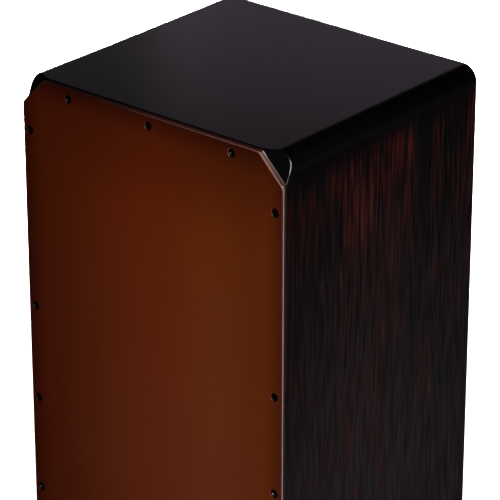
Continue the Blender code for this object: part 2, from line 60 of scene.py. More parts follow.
BOX_FRONT, BOX_BACK = SEAT_LOW.y, SEAT_HIGH.y
PLATE_FRONT, PLATE_BACK = PLATE_LOW.y, PLATE_HIGH.y
PLATE_MIDDLE = (PLATE_HIGH.z + PLATE_LOW.z) / 2
PLATE_HALF_HEIGHT = (PLATE_HIGH.z - PLATE_LOW.z) / 2

# Sizes of the design that a box doesn't give
EDGE_RADIUS = 0.015
CORNER_CUT = 0.0265
PLATE_CUT = CORNER_CUT - (TOP - PLATE_HIGH.z)
CORNER_ROUND = 0.004
BEVEL_ANGLE = math.radians(32.5)
BEVEL_OVERRUN = 0.002
SOUND_HOLE_RADIUS = 0.060
SOUND_HOLE_ABOVE_FLOOR = 0.262
SHADOW_GAP = 0.0003
SCREW_SEAT_DEPTH = 0.0022
FRONT_SCREW_COUNT = 14
RIM_MARGIN = 0.001
HEARTWOOD_Y = 0.01

# How near two places are when they count as one
NEAR = 1e-4
FLUSH = 1e-5

# How far edges are eased
PANEL_EASE = 0.0009
PLATE_EASE = 0.0013
SMALL_EASE = 0.0003
BACK_EASE = 0.0007

# The snare unit, in its own frame: turned by BAR_TILT about the pivot, with -Y the bar's front
BAR_TILT = math.radians(18)
BAR_SIDE = 0.020
GLUE_GAP = 0.0003
WIRES_PER_FAN = 10
WIRE_LENGTH = 0.0900
WIRE_ROOT = 0.0046
WIRE_PITCH = 0.0032
WIRE_FAN_PITCH = 0.0048
COIL_RADIUS = 0.0005
COIL_WIRE_RADIUS = 0.0002
COIL_RISE = 0.0016
STRIP_THICKNESS = 0.0008
STRIP_HEIGHT = 0.008
STRIP_MARGIN = 0.007
STRIP_CORNER_RADIUS = 0.0008
HALF_STRIP = (WIRES_PER_FAN - 1) / 2 * WIRE_PITCH + STRIP_MARGIN
FAN_OFFSET = 0.058
CLAMP_THICKNESS = 0.0022
CLAMP_HEAD_RADIUS = 0.0028
CLAMP_HEAD_HEIGHT = 0.0014
CLAMP_SHANK_RADIUS = 0.0013
CLAMP_SHANK_LENGTH = 0.012
CLAMP_SCREW_REACH = HALF_STRIP - STRIP_MARGIN / 2
STRIP_MIDDLE = -BAR_SIDE / 2 - GLUE_GAP - STRIP_THICKNESS / 2 - COIL_RADIUS - COIL_WIRE_RADIUS
CLAMP_FRONT = STRIP_MIDDLE - COIL_RADIUS - COIL_WIRE_RADIUS - GLUE_GAP - CLAMP_THICKNESS
LEVER_THICKNESS = 0.002

# Screws: head heights and shank radii, shares of the head that shape it, and how far each is turned
FRONT_SCREW = (0.0016, 0.0017)
BACK_SCREW = (0.0012, 0.0014)
FOOT_SCREW = (0.0025, 0.0020)
CROWN_HEIGHT = 0.62
CROWN_FLAT = 0.42
RECESS_ARM = 0.56
RECESS_HALF_WIDTH = 0.13
RECESS_DEPTH = 0.75
RECESS_TAPER = 0.55
HEAD_EASE = 0.05
POINT_LENGTH = 1.5
SCREW_TURN = 37

# Feet
FOOT_BORE_RADIUS = 0.0023
FOOT_RECESS_RADIUS = 0.0048
FOOT_WEB = 0.004
FOOT_EASE = 0.0004
FOOT_WAIST = 0.0010

# How finely round shapes are divided
ARC_STEPS = 16
HOLE_STEPS = 96
SCREW_STEPS = 32
CROWN_STEPS = 8
CORNER_STEPS = 6
STRIP_CORNER_STEPS = 4
FOOT_STEPS = 64
COIL_STEPS = 7
WIRE_SIDES = 4


# Meshes


def finish_mesh(name, bm):
    """Turns a bmesh into a mesh whose faces point out."""
    bmesh.ops.recalc_face_normals(bm, faces=bm.faces)
    mesh = bpy.data.meshes.new(name)
    bm.to_mesh(mesh)
    bm.free()
    return mesh


def along_y(a, b, c):
    return Vector((a, c, b))


def add_prism(bm, outline, start, end, place=along_y):
    """Extrudes an outline of (a, b) points from start to end; place maps (a, b, c) to a point."""
    face = bm.faces.new([bm.verts.new(place(a, b, start)) for a, b in outline])
    side = bmesh.ops.extrude_face_region(bm, geom=[face])
    moved = [item for item in side["geom"] if isinstance(item, bmesh.types.BMVert)]
    bmesh.ops.translate(bm, vec=place(0, 0, end) - place(0, 0, start), verts=moved)


def prism_mesh(name, outline, start, end):
    """A prism along Y over an outline of (x, z) points."""
    bm = bmesh.new()
    add_prism(bm, outline, start, end)
    return finish_mesh(name, bm)


def box_mesh(name, low, high):
    bm = bmesh.new()
    low, high = Vector(low), Vector(high)
    place = Matrix.Translation((low + high) / 2) @ Matrix.Diagonal((*(high - low), 1))
    bmesh.ops.create_cube(bm, size=1, matrix=place)
    return finish_mesh(name, bm)


def circle(radius, steps, centre=(0, 0)):
    turns = [2 * math.pi * step / steps for step in range(steps)]
    return [(centre[0] + radius * math.cos(t), centre[1] + radius * math.sin(t)) for t in turns]


def rounded(corners, radii, steps):
    """A closed outline whose corners are replaced by arcs. A radius of 0 keeps a corner sharp."""
    points = []
    for index, (corner, radius) in enumerate(zip(corners, radii)):
        corner = Vector(corner)
        if radius == 0:
            points.append(corner)
            continue
        before = (Vector(corners[index - 1]) - corner).normalized()
        after = (Vector(corners[(index + 1) % len(corners)]) - corner).normalized()
        half_angle = before.angle(after) / 2
        centre = corner + (before + after).normalized() * radius / math.sin(half_angle)
        first = corner + before * radius / math.tan(half_angle) - centre
        last = corner + after * radius / math.tan(half_angle) - centre
        turn = math.pi - 2 * half_angle
        for step in range(steps + 1):
            part = step / steps
            point = first * math.sin((1 - part) * turn) + last * math.sin(part * turn)
            points.append(centre + point / math.sin(turn))
    return [tuple(point) for point in points]


def turned_mesh(name, profile, steps):
    """Turns a profile of (radius, height) points round Z. A radius of 0 closes it on the axis."""
    bm = bmesh.new()
    rings = []
    for radius, height in profile:
        if radius == 0:
            rings.append([bm.verts.new((0, 0, height))] * steps)
            continue
        rings.append([bm.verts.new((a, b, height)) for a, b in circle(radius, steps)])
    closed = profile[0][0] > 0
    pairs = list(zip(rings, rings[1:] + rings[:1])) if closed else list(zip(rings, rings[1:]))
    for lower, upper in pairs:
        for step in range(steps):
            after = (step + 1) % steps
            loop = [lower[step], lower[after], upper[after], upper[step]]
            bm.faces.new(list(dict.fromkeys(loop)))
    return finish_mesh(name, bm)


def new_object(name, mesh):
    obj = bpy.data.objects.new(name, mesh)
    bpy.context.scene.collection.objects.link(obj)
    return obj


def cut_away(mesh, cutters):
    """The mesh without what the other meshes cover."""
    target = new_object("boolean_target", mesh)
    helpers = [new_object("boolean_helper", cutter) for cutter in cutters]
    for helper in helpers:
        modifier = target.modifiers.new("boolean", "BOOLEAN")
        modifier.operation = "DIFFERENCE"
        modifier.solver = "EXACT"
        modifier.object = helper
    bpy.context.view_layer.update()
    graph = bpy.context.evaluated_depsgraph_get()
    made = bpy.data.meshes.new_from_object(target.evaluated_get(graph))
    for obj in [target, *helpers]:
        bpy.data.objects.remove(obj)
    made.name = mesh.name
    return made


def ease_edges(mesh, width, segments=3, keep=lambda middle: False, least=25):
    """Rounds every edge that turns by more than least degrees, but not where keep(middle) is true."""
    bm = bmesh.new()
    bm.from_mesh(mesh)
    bmesh.ops.remove_doubles(bm, verts=bm.verts, dist=1e-6)
    bmesh.ops.dissolve_limit(bm, angle_limit=math.radians(0.5), verts=bm.verts, edges=bm.edges)
    chosen = []
    for edge in bm.edges:
        if len(edge.link_faces) != 2 or edge.calc_face_angle(0) < math.radians(least):
            continue
        if not keep((edge.verts[0].co + edge.verts[1].co) / 2):
            chosen.append(edge)
    bmesh.ops.bevel(
        bm, geom=chosen, offset=width, segments=segments, profile=0.5, affect="EDGES",
        clamp_overlap=True, loop_slide=True,
    )
    bm.to_mesh(mesh)
    bm.free()
    return mesh


def smooth(mesh, angle=30):
    mesh.shade_smooth()
    mesh.set_sharp_from_angle(angle=math.radians(angle))
    return mesh


def even_normals(obj):
    """Keeps large flat faces evenly shaded up to the rounded edges round them."""
    weighted = obj.modifiers.new("even_normals", "WEIGHTED_NORMAL")
    weighted.keep_sharp = True


def add_piece(name, mesh, look, nodes, body="box"):
    """A finished piece: its material, its body and the CAD nodes that it stands for."""
    obj = new_object(name, mesh)
    for one in look if isinstance(look, list) else [look]:
        mesh.materials.append(one)
    even_normals(obj)
    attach(obj, body)
    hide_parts(*nodes)
    return obj


def paint_faces(mesh, index, test):
    """Gives a material index to each face whose centre and normal pass the test."""
    for face in mesh.polygons:
        if test(face.center, face.normal):
            face.material_index = index


# Materials


class Look:
    """A material under construction: a Principled shader and short names for the nodes behind it."""

    def __init__(self, name, **sockets):
        self.material = bpy.data.materials.new(name)
        self.material.use_nodes = True
        self.tree = self.material.node_tree
        self.shader = self.tree.nodes["Principled BSDF"]
        for socket, value in sockets.items():
            self.shader.inputs[socket.replace("_", " ")].default_value = value
        self.place = self.tree.nodes.new("ShaderNodeTexCoord").outputs["Object"]

    def put(self, socket, value):
        if isinstance(value, bpy.types.NodeSocket):
            self.tree.links.new(value, socket)
        else:
            socket.default_value = value

    def math(self, operation, first, second=0.0, third=0.0):
        node = self.tree.nodes.new("ShaderNodeMath")
        node.operation = operation
        for socket, value in zip(node.inputs, (first, second, third)):
            self.put(socket, value)
        return node.outputs[0]

    def smooth_step(self, value, low, high):
        """0 below low, 1 above high, and an S-curve between; low may be above high."""
        node = self.tree.nodes.new("ShaderNodeMapRange")
        node.interpolation_type = "SMOOTHSTEP"
        for socket, number in zip(node.inputs, (value, low, high, 0.0, 1.0)):
            self.put(socket, number)
        return node.outputs[0]

    def axes(self):
        node = self.tree.nodes.new("ShaderNodeSeparateXYZ")
        self.put(node.inputs[0], self.place)
        return node.outputs

    def stretched(self, x, y, z, shift=(0, 0, 0)):
        """Object coordinates times a number of features a metre along each axis."""
        node = self.tree.nodes.new("ShaderNodeMapping")
        self.put(node.inputs["Vector"], self.place)
        node.inputs["Location"].default_value = shift
        node.inputs["Scale"].default_value = (x, y, z)
        return node.outputs[0]

    def noise(self, vector, detail=2.0, roughness=0.5, distortion=0.0):
        node = self.tree.nodes.new("ShaderNodeTexNoise")
        self.put(node.inputs["Vector"], vector)
        node.inputs["Scale"].default_value = 1.0
        node.inputs["Detail"].default_value = detail
        node.inputs["Roughness"].default_value = roughness
        node.inputs["Distortion"].default_value = distortion
        return node.outputs[0]

    def mix(self, share, first, second, blend="MIX"):
        """A colour between first and second."""
        node = self.tree.nodes.new("ShaderNodeMix")
        node.data_type = "RGBA"
        node.blend_type = blend
        self.put(node.inputs[0], share)
        for socket, value in ((node.inputs[6], first), (node.inputs[7], second)):
            self.put(socket, value if isinstance(value, bpy.types.NodeSocket) else (*value, 1))
        return node.outputs[2]

    def bump(self, height, distance):
        node = self.tree.nodes.new("ShaderNodeBump")
        self.put(node.inputs["Height"], height)
        node.inputs["Distance"].default_value = distance
        self.put(self.shader.inputs["Normal"], node.outputs[0])

    def set(self, socket, value):
        self.put(self.shader.inputs[socket], value)


def seat_paint():
    """Satin black paint with a fine orange-peel and faint rubbed patches."""
    look = Look("satin_black_paint")
    rubbed = look.noise(look.stretched(7, 7, 7), detail=4, roughness=0.6)
    peel = look.noise(look.stretched(700, 700, 700), detail=2)
    look.set("Base Color", look.mix(rubbed, (0.0001, 0.0001, 0.0001), (0.0003, 0.0002, 0.0003)))
    look.set("Roughness", look.math("MULTIPLY_ADD", rubbed, 0.10, 0.20))
    look.bump(peel, 0.00003)
    return look.material


def ebony():
    """Dark veneer with short red-brown streaks along Z, fading to black at the top, with a painted
    reflection of the floor that pales it towards the bottom.
    """
    look = Look("ebony_veneer", Specular_IOR_Level=0.15)
    _, y, z = look.axes()
    wide = look.noise(look.stretched(30, 30, 4.0), detail=3, roughness=0.6)
    fine = look.noise(look.stretched(380, 380, 15, (3.1, 1.7, 0.4)), detail=3, roughness=0.55)
    hair = look.noise(look.stretched(800, 800, 26, (0.3, 5.1, 2.2)), detail=2, roughness=0.5)
    # Painted reflection of the floor: the ground grows paler towards the bottom.
    low = look.smooth_step(z, TOP - 0.02, BASE + 0.10)
    dark = look.mix(low, (0.0001, 0.0001, 0.0001), (0.0013, 0.0010, 0.0012))
    pale = look.mix(low, (0.0009, 0.0008, 0.0010), (0.0044, 0.0036, 0.0041))
    ground_and_floor_sheen = look.mix(look.smooth_step(hair, 0.36, 0.66), dark, pale)
    heart = look.smooth_step(look.math("ABSOLUTE", look.math("SUBTRACT", y, HEARTWOOD_Y)), 0.13, 0.02)
    warm = look.smooth_step(look.math("MULTIPLY_ADD", heart, 0.09, wide), 0.40, 0.66)
    red = look.math("MULTIPLY", look.smooth_step(fine, 0.42, 0.66), warm)
    # Painted reflection of the floor: below the top the red streaks turn greyer.
    below = look.smooth_step(z, TOP - 0.03, TOP - 0.16)
    streaked = look.mix(red, ground_and_floor_sheen, look.mix(below, (0.0125, 0.0012, 0.0006), (0.0050, 0.0015, 0.0013)))
    spark = look.math("MULTIPLY", look.smooth_step(hair, 0.55, 0.68), look.smooth_step(fine, 0.56, 0.70))
    streaked = look.mix(look.math("MULTIPLY", spark, warm), streaked, (0.019, 0.0045, 0.0012))
    level = look.math("MULTIPLY_ADD", look.math("SUBTRACT", BOX_BACK, y), 0.06, z)
    shown = look.smooth_step(level, TOP - 0.010, TOP - 0.042)
    shown = look.math("MULTIPLY", shown, look.smooth_step(y, BOX_FRONT - 0.12, BOX_FRONT + 0.12))
    look.set("Base Color", look.mix(shown, (0.0003, 0.0002, 0.0003), streaked))
    look.set("Roughness", look.math("MULTIPLY_ADD", hair, 0.10, 0.27))
    look.bump(hair, 0.00004)
    return look.material


def off_centre(look):
    """Distance from the plate's upright middle line."""
    return look.math("ABSOLUTE", look.axes()[0])


def from_middle(look):
    """Height above or below the plate's middle."""
    return look.math("ABSOLUTE", look.math("SUBTRACT", look.axes()[2], PLATE_MIDDLE))


def from_end(look):
    """Distance in from the plate's top or bottom edge, whichever is nearer."""
    return look.math("SUBTRACT", PLATE_HALF_HEIGHT, from_middle(look))


def from_outline(look):
    """Distance in from the plate's nearest edge, blended where two edges are equally near."""
    from_side = look.math("SUBTRACT", HALF_WIDTH, off_centre(look))
    return look.math("SMOOTH_MIN", from_side, from_end(look), 0.03)


def shade_plate(look, colour):
    """Darkens the stain towards its edges, and paints light and shade on it: painted shade towards -X, a
    painted highlight with a paler sheen towards +X, and painted shade near the ends of the right half.
    """
    inward, at_end = from_outline(look), from_end(look)
    colour = look.mix(look.smooth_step(inward, -0.018, 0.100), (0.0155, 0.0016, 0.0001), colour)
    colour = look.mix(look.smooth_step(at_end, -0.03, 0.13), (0.0160, 0.0019, 0.0001), colour)
    burst = look.smooth_step(look.math("SMOOTH_MIN", inward, at_end, 0.01), -0.010, 0.026)
    colour = look.mix(burst, (0.0060, 0.0006, 0.0001), colour)
    # Painted light and shade from a light on the right: darker towards -X, lighter and paler towards +X
    # and at the right edge, shaded again near the top and bottom of the right half.
    x = look.axes()[0]
    left = look.smooth_step(x, 0.01, -0.09)
    right = look.smooth_step(x, 0.00, 0.10)
    right_edge_light = look.smooth_step(x, 0.115, 0.145)
    right_half = look.smooth_step(x, 0.00, 0.12)
    right_end_shade = look.math("MULTIPLY", right_half, look.smooth_step(at_end, 0.10, 0.00))
    colour = look.mix(left, colour, (0.80, 0.78, 0.60), "MULTIPLY")
    colour = look.mix(right, colour, (1.00, 1.40, 1.60), "MULTIPLY")
    colour = look.mix(right_edge_light, colour, (1.25, 1.30, 1.30), "MULTIPLY")
    return look.mix(right_end_shade, colour, (0.72, 0.60, 0.80), "MULTIPLY")


def stained_plate():
    """Red-brown stained veneer: cloudy, with fine grain and pores, browner towards the bottom partly as a
    painted reflection of the floor, and with the painted light and shade of shade_plate.
    """
    look = Look("stained_plate", Specular_IOR_Level=0.012)
    # Redder at the top, browner and bluer towards the bottom: partly the stain's tone, partly a painted
    # reflection of the floor.
    down = look.smooth_step(look.axes()[2], TOP, BASE + 0.1)
    cloud = look.noise(look.stretched(13, 13, 5), detail=3)
    grain = look.noise(look.stretched(240, 240, 16, (1.3, 0, 2.6)), detail=3, roughness=0.6)
    fleck = look.noise(look.stretched(520, 520, 110, (4.4, 0, 0.7)), detail=2, roughness=0.6)
    colour = look.mix(down, (0.0265, 0.0033, 0.0001), (0.0250, 0.0043, 0.0012))
    colour = look.mix(look.math("MULTIPLY", cloud, 0.5), colour, (0.0195, 0.0025, 0.0002))
    colour = look.mix(look.math("MULTIPLY", grain, 0.30), colour, (0.0150, 0.0019, 0.0002))
    pores = look.math("MULTIPLY", look.smooth_step(fleck, 0.62, 0.74), 0.7)
    colour = look.mix(pores, colour, (0.0090, 0.0012, 0.0002))
    look.set("Base Color", shade_plate(look, colour))
    look.set("Roughness", look.math("MULTIPLY_ADD", grain, 0.14, 0.42))
    look.bump(look.math("SUBTRACT", grain, fleck), 0.00004)
    return look.material


def cut_corner(look):
    """1 on the plate's cut corners, 0 elsewhere on its outline."""
    reach = look.math("ADD", off_centre(look), from_middle(look))
    limit = HALF_WIDTH + PLATE_HALF_HEIGHT - PLATE_CUT
    return look.smooth_step(reach, limit - 0.0030, limit - 0.0012)


def through_plate(look):
    """0 at the plate's front face, 1 at its back face."""
    depth = look.math("SUBTRACT", look.axes()[1], PLATE_FRONT)
    return look.math("DIVIDE", depth, PLATE_BACK - PLATE_FRONT)


def plate_rim():
    """The plate's rounded rim: paler at its top and bottom ends as a painted highlight that grows towards
    +X, most on the cut corners.
    """
    look = Look("plate_rim", Roughness=0.45, Specular_IOR_Level=0.2)
    x = look.axes()[0]
    grain = look.noise(look.stretched(400, 400, 60), detail=3)
    patch = look.noise(look.stretched(90, 90, 90), detail=3)
    at_end = look.smooth_step(from_middle(look), PLATE_HALF_HEIGHT - 0.030, PLATE_HALF_HEIGHT - 0.024)
    # Painted highlight: share pales the rim towards +X and most on the cut corners, where a light on the
    # right falls; bare is the highlight's pale colour.
    along = look.smooth_step(look.math("MULTIPLY_ADD", patch, 0.08, x), -0.06, 0.19)
    cut_corner_highlight = look.math("MULTIPLY", cut_corner(look), look.math("MULTIPLY_ADD", x, 2.4, 0.62))
    share = look.math("MAXIMUM", look.math("MULTIPLY", along, 0.75), cut_corner_highlight)
    bare = look.mix(grain, (0.045, 0.021, 0.015), (0.072, 0.036, 0.027))
    look.set("Base Color", look.mix(look.math("MULTIPLY", share, at_end), (0.0075, 0.0010, 0.0007), bare))
    look.bump(grain, 0.00008)
    return look.material


def plate_edge():
    """The plate's own edge: dark red plies at its ends, a pale ply before black ones on its long sides,
    and painted shade towards -X.
    """
    look = Look("plate_edge", Roughness=0.60, Specular_IOR_Level=0.2)
    place = through_plate(look)
    grain = look.noise(look.stretched(300, 900, 300), detail=3)
    core = look.math("COMPARE", place, 0.62, 0.17)
    outer = look.mix(grain, (0.022, 0.0030, 0.0018), (0.038, 0.0062, 0.0040))
    colour = look.mix(core, outer, (0.0140, 0.0020, 0.0014))
    on_side = look.math("GREATER_THAN", off_centre(look), HALF_WIDTH - 0.0010)
    # Painted shade: the edge darkens towards -X, away from the light on the right.
    left = look.smooth_step(look.axes()[0], 0.06, -0.10)
    colour = look.mix(left, colour, (0.25, 0.25, 0.25), "MULTIPLY")
    colour = look.mix(look.math("MULTIPLY", on_side, 0.9), colour, (0.0012, 0.0005, 0.0004))
    pale_ply = look.math("MULTIPLY", on_side, look.math("COMPARE", place, 0.36, 0.15))
    pale = look.mix(grain, (0.040, 0.023, 0.020), (0.066, 0.040, 0.035))
    look.set("Base Color", look.mix(pale_ply, colour, pale))
    look.bump(grain, 0.0001)
    return look.material


def plate_cut():
    """The cut corners' edge: pale, thinly stained plies, darker outwards, with a painted highlight along
    its back rim, a painted glint at the rim's inner end, and painted shade on the left corners.
    """
    look = Look("plate_cut", Roughness=0.55, Specular_IOR_Level=0.2)
    place = through_plate(look)
    grain = look.noise(look.stretched(300, 900, 300), detail=3)
    ply = look.math("COMPARE", place, 0.52, 0.13)
    inner_x = HALF_WIDTH - CORNER_CUT
    outward = look.smooth_step(off_centre(look), inner_x, HALF_WIDTH)
    plain = look.mix(outward, (0.064, 0.036, 0.033), (0.012, 0.0046, 0.0040))
    deep = look.mix(outward, (0.038, 0.019, 0.017), (0.010, 0.0036, 0.0030))
    colour = look.mix(ply, plain, deep)
    colour = look.mix(look.math("MULTIPLY", grain, 0.5), colour, (0.036, 0.018, 0.015))
    # Painted highlight along the back rim, with a painted glint where it reaches the inner end of the cut.
    back_rim_highlight = look.smooth_step(place, 0.84, 0.92)
    colour = look.mix(look.math("MULTIPLY", back_rim_highlight, 0.8), colour, (0.062, 0.037, 0.031))
    glint_at_inner_end = look.smooth_step(off_centre(look), inner_x + 0.008, inner_x)
    colour = look.mix(look.math("MULTIPLY", back_rim_highlight, glint_at_inner_end), colour, (0.30, 0.27, 0.30))
    # Painted shade on the left cut corners.
    left = look.smooth_step(look.axes()[0], 0.02, -0.02)
    look.set("Base Color", look.mix(look.math("MULTIPLY", left, 0.7), colour, (0.010, 0.0030, 0.0022)))
    look.bump(grain, 0.0001)
    return look.material


def in_rebate(look):
    """1 on the walls' inside faces beside the back panel, 0 further in."""
    return look.smooth_step(look.axes()[1], BACK_LOW.y - 0.0008, BACK_LOW.y - 0.0002)


def over_walls(look):
    """1 where the plate's back lies on the box's front edges, 0 inside them."""
    beside = look.smooth_step(off_centre(look), HALF_INSIDE, HALF_INSIDE + 0.001)
    inside_end = CEILING - PLATE_MIDDLE
    at_end = look.smooth_step(from_middle(look), inside_end, inside_end + 0.001)
    return look.math("MAXIMUM", beside, at_end)


def bare_birch(name, along, painted=None):
    """Unfinished birch with soft grain along one axis, black where painted(look) is 1."""
    look = Look(name, Roughness=0.68, Specular_IOR_Level=0.25)
    low = {"x": (3, 60, 60), "y": (60, 3, 60), "z": (60, 60, 3)}[along]
    high = tuple(8 * number for number in low)
    ring = look.noise(look.stretched(*low), detail=4, roughness=0.55, distortion=0.6)
    fibre = look.noise(look.stretched(*high), detail=2)
    colour = look.mix(ring, (0.36, 0.225, 0.115), (0.58, 0.41, 0.245))
    colour = look.mix(look.math("MULTIPLY", fibre, 0.4), colour, (0.30, 0.18, 0.09))
    if painted:
        colour = look.mix(painted(look), colour, (0.0010, 0.0008, 0.0010))
    look.set("Base Color", colour)
    look.bump(fibre, 0.0001)
    return look.material


def ply_edge(name, along, start, thickness, plies):
    """A sawn plywood edge: light and dark plies stacked along one axis."""
    look = Look(name, Roughness=0.75, Specular_IOR_Level=0.2)
    axis = look.axes()["xyz".index(along)]
    place = look.math("MULTIPLY", look.math("SUBTRACT", axis, start), plies / thickness / 2)
    dark = look.math("GREATER_THAN", look.math("FRACT", place), 0.5)
    grain = look.noise(look.stretched(220, 220, 220), detail=3)
    light_ply = look.mix(grain, (0.42, 0.28, 0.15), (0.56, 0.40, 0.24))
    dark_ply = look.mix(grain, (0.20, 0.115, 0.055), (0.30, 0.18, 0.09))
    look.set("Base Color", look.mix(dark, light_ply, dark_ply))
    look.bump(grain, 0.00015)
    return look.material


def black_steel():
    """Blackened screws with a little wear."""
    look = Look("black_steel", Metallic=1.0)
    wear = look.noise(look.stretched(700, 700, 700), detail=3)
    worn = look.smooth_step(wear, 0.55, 0.75)
    look.set("Base Color", look.mix(worn, (0.030, 0.029, 0.025), (0.13, 0.125, 0.11)))
    look.set("Roughness", look.math("MULTIPLY_ADD", wear, 0.2, 0.20))
    return look.material


def bright_steel():
    look = Look("bright_steel", Metallic=1.0)
    scratch = look.noise(look.stretched(1200, 120, 1200), detail=2)
    look.set("Base Color", look.mix(scratch, (0.50, 0.50, 0.51), (0.66, 0.66, 0.67)))
    look.set("Roughness", look.math("MULTIPLY_ADD", scratch, 0.18, 0.20))
    return look.material


def brass():
    look = Look("brass", Metallic=1.0)
    tarnish = look.noise(look.stretched(260, 260, 260), detail=3)
    look.set("Base Color", look.mix(tarnish, (0.52, 0.34, 0.11), (0.72, 0.52, 0.21)))
    look.set("Roughness", look.math("MULTIPLY_ADD", tarnish, 0.25, 0.22))
    return look.material


def rubber():
    look = Look("foot_rubber", Specular_IOR_Level=0.35)
    dust = look.noise(look.stretched(400, 400, 400), detail=3)
    look.set("Base Color", look.mix(dust, (0.010, 0.010, 0.010), (0.022, 0.021, 0.020)))
    look.set("Roughness", look.math("MULTIPLY_ADD", dust, 0.15, 0.72))
    look.bump(dust, 0.0001)
    return look.material


# The box


def wedge_place(side, level, up):
    """Maps (outwards, y, along the cut) at one corner of the box to a point."""
    out = Vector((side, 0, up)).normalized()
    run = Vector((side, 0, -up)).normalized()
    middle = Vector((side * (HALF_WIDTH - CORNER_CUT / 2), 0, level - up * CORNER_CUT / 2))
    return lambda a, b, c: middle + out * a + run * c + Vector((0, b, 0))


def corner_wedges():
    """The four wedges that bevel the box behind the plate's cut corners."""
    bm = bmesh.new()
    slope = math.tan(BEVEL_ANGLE)
    in_front = BOX_FRONT - 2 * BEVEL_OVERRUN
    profile = [
        (-BEVEL_OVERRUN, BOX_FRONT - BEVEL_OVERRUN * slope), (CORNER_CUT, BOX_FRONT + CORNER_CUT * slope),
        (CORNER_CUT, in_front), (-BEVEL_OVERRUN, in_front),
    ]
    for side in (-1, 1):
        for level, up in ((TOP, 1), (BASE, -1)):
            add_prism(bm, profile, -CORNER_CUT, CORNER_CUT, wedge_place(side, level, up))
    return finish_mesh("corner_wedges", bm)


def on_seam(middle):
    """True on the edges where two panels meet, which stay sharp so that the seam closes."""
    return min(abs(middle.z - CEILING), abs(middle.z - INSIDE_FLOOR)) < NEAR


def make_panels(seat_look, side_look, inside_look):
    """Seat, bottom and sides. Their inside faces are bare wood."""
    half = HALF_WIDTH
    for name, inner, outer, look, slot in (
        ("seat_panel", CEILING, TOP, seat_look, "seat_paint"),
        ("bottom_panel", INSIDE_FLOOR, BASE, side_look, "side_finish"),
    ):
        corners = [(-half, inner), (half, inner), (half, outer), (-half, outer)]
        outline = rounded(corners, [0, 0, EDGE_RADIUS, EDGE_RADIUS], ARC_STEPS)
        solid = prism_mesh(name + "_shell", outline, BOX_FRONT, BOX_BACK)
        solid = cut_away(solid, [corner_wedges()])
        ease_edges(solid, PANEL_EASE, keep=on_seam)
        paint_faces(solid, 1, lambda centre, normal: abs(centre.z - inner) < FLUSH)
        smooth(solid, 35)
        add_piece(name + "_shell", solid, [look, inside_look], [name])
    for name, side in (("left_side_panel", -1), ("right_side_panel", 1)):
        near, far = sorted((side * HALF_INSIDE, side * HALF_WIDTH))
        solid = box_mesh(name + "_shell", (near, BOX_FRONT, INSIDE_FLOOR), (far, BOX_BACK, CEILING))
        solid = cut_away(solid, [corner_wedges()])
        ease_edges(solid, PANEL_EASE, keep=on_seam)
        paint_faces(solid, 1, lambda centre, normal: abs(abs(centre.x) - HALF_INSIDE) < FLUSH)
        smooth(solid, 35)
        add_piece(name + "_shell", solid, [side_look, inside_look], [name])


# Screws


def cross_recess(arm, half, depth, lift):
    """A tapered cross, as a driver leaves it, to cut from a screw head."""
    bm = bmesh.new()
    corners = [
        (arm, -half), (arm, half), (half, half), (half, arm), (-half, arm), (-half, half),
        (-arm, half), (-arm, -half), (-half, -half), (-half, -arm), (half, -arm), (half, -half),
    ]
    top = [bm.verts.new((a, b, lift)) for a, b in corners]
    low = [bm.verts.new((a * RECESS_TAPER, b * RECESS_TAPER, -depth)) for a, b in corners]
    bm.faces.new(top)
    bm.faces.new(low)
    for index in range(len(corners)):
        after = (index + 1) % len(corners)
        bm.faces.new([top[index], top[after], low[after], low[index]])
    return finish_mesh("cross_recess", bm)


def screw_mesh(name, head_radius, head_height, shank_radius, length):
    """A pan-head screw along -Z from its head's face at Z = 0, with a cross recess."""
    crown = head_height * CROWN_HEIGHT
    profile = [(0, 0)]
    for step in range(CROWN_STEPS + 1):
        turn = math.pi / 2 * step / CROWN_STEPS
        share = CROWN_FLAT + (1 - CROWN_FLAT) * math.sin(turn)
        profile.append((head_radius * share, -crown * (1 - math.cos(turn))))
    profile += [
        (head_radius, -head_height), (shank_radius, -head_height),
        (shank_radius, -length + shank_radius * POINT_LENGTH), (0, -length),
    ]
    blank = turned_mesh(name, profile, SCREW_STEPS)
    arm, half = head_radius * RECESS_ARM, head_radius * RECESS_HALF_WIDTH
    mesh = cut_away(blank, [cross_recess(arm, half, head_height * RECESS_DEPTH, head_height)])
    ease_edges(mesh, head_radius * HEAD_EASE, least=40)
    return smooth(mesh, 40)


def replace_screws(prefix, count, mesh, turn, face_of):
    """Puts a detailed screw in each CAD screw's place, with its head's face where face_of says."""
    for number in range(1, count + 1):
        node = f"{prefix}_{number:02d}"
        obj = new_object(node + "_detail", mesh)
        spin = Matrix.Rotation(math.radians(SCREW_TURN * number % 90), 4, "Z")
        obj.matrix_world = Matrix.Translation(face_of(*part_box(node))) @ turn @ spin
        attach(obj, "box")
        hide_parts(node)


def make_screws(look):
    """Front, back and foot screws: each sort shares one mesh, whose length is the CAD screw's."""
    def on_front(low, high):
        return ((low.x + high.x) / 2, low.y, (low.z + high.z) / 2)

    def on_back(low, high):
        return ((low.x + high.x) / 2, high.y, (low.z + high.z) / 2)

    def under(low, high):
        return ((low.x + high.x) / 2, (low.y + high.y) / 2, low.z)

    sorts = (
        ("front_screw", FRONT_SCREW_COUNT, FRONT_SCREW, 1, 90, on_front),
        ("back_screw", 8, BACK_SCREW, 1, -90, on_back),
        ("foot_screw", 4, FOOT_SCREW, 2, 180, under),
    )
    for prefix, count, (head_height, shank_radius), axis, tilt, face_of in sorts:
        low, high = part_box(prefix + "_01")
        head_radius = high.x / 2 - low.x / 2
        mesh = screw_mesh(prefix + "_detail", head_radius, head_height, shank_radius, (high - low)[axis])
        mesh.materials.append(look)
        replace_screws(prefix, count, mesh, Matrix.Rotation(math.radians(tilt), 4, "X"), face_of)


# The front plate


